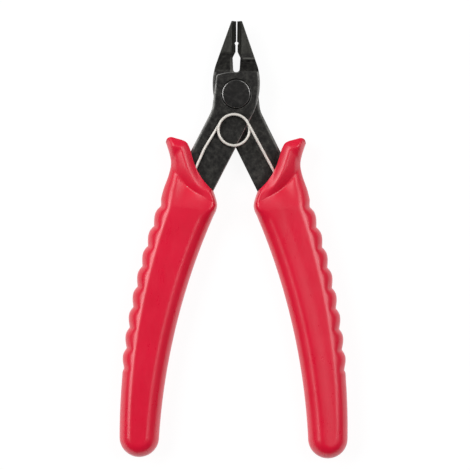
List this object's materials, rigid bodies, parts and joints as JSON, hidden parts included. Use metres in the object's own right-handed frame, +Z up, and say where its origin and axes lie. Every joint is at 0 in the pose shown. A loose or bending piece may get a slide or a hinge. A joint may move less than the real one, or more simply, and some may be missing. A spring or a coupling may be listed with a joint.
{
  "type": "flush cutter",
  "caption": "Flush cutter with lapped black steel levers, a round notch behind the cutting edges, a torsion return spring and scalloped moulded grips.",
  "frame": {"origin": "middle of the tool's footprint, on the surface it lies on", "axes": "+Y towards the jaws, +Z up out of the front face, +X to the right of the jaws seen from the front"},
  "size_m": [0.068, 0.13, 0.0105],
  "materials": {
    "lever_steel": "black oxide, worn bright along the rims",
    "rivet_steel": "black oxide, bright chamfer",
    "spring_wire": "drawn wire, satin",
    "grip_plastic": "glossy moulded plastic"
  },
  "bodies": {
    "rear_half": {"rear_lever": "lever_steel", "right_grip": "grip_plastic", "pivot_rivet": "rivet_steel", "return_spring": "spring_wire"},
    "front_half": {"front_lever": "lever_steel", "left_grip": "grip_plastic"}
  },
  "joints": [
    {"name": "pivot", "type": "hinge", "parent": "rear_half", "child": "front_half", "pos_m": [0, 0.0432, 0.00525], "axis": [0, 0, -1], "range_deg": [-0.75, 12], "stiffness_Nm_per_rad": 0.09, "deforming": ["return_spring"]}
  ]
}
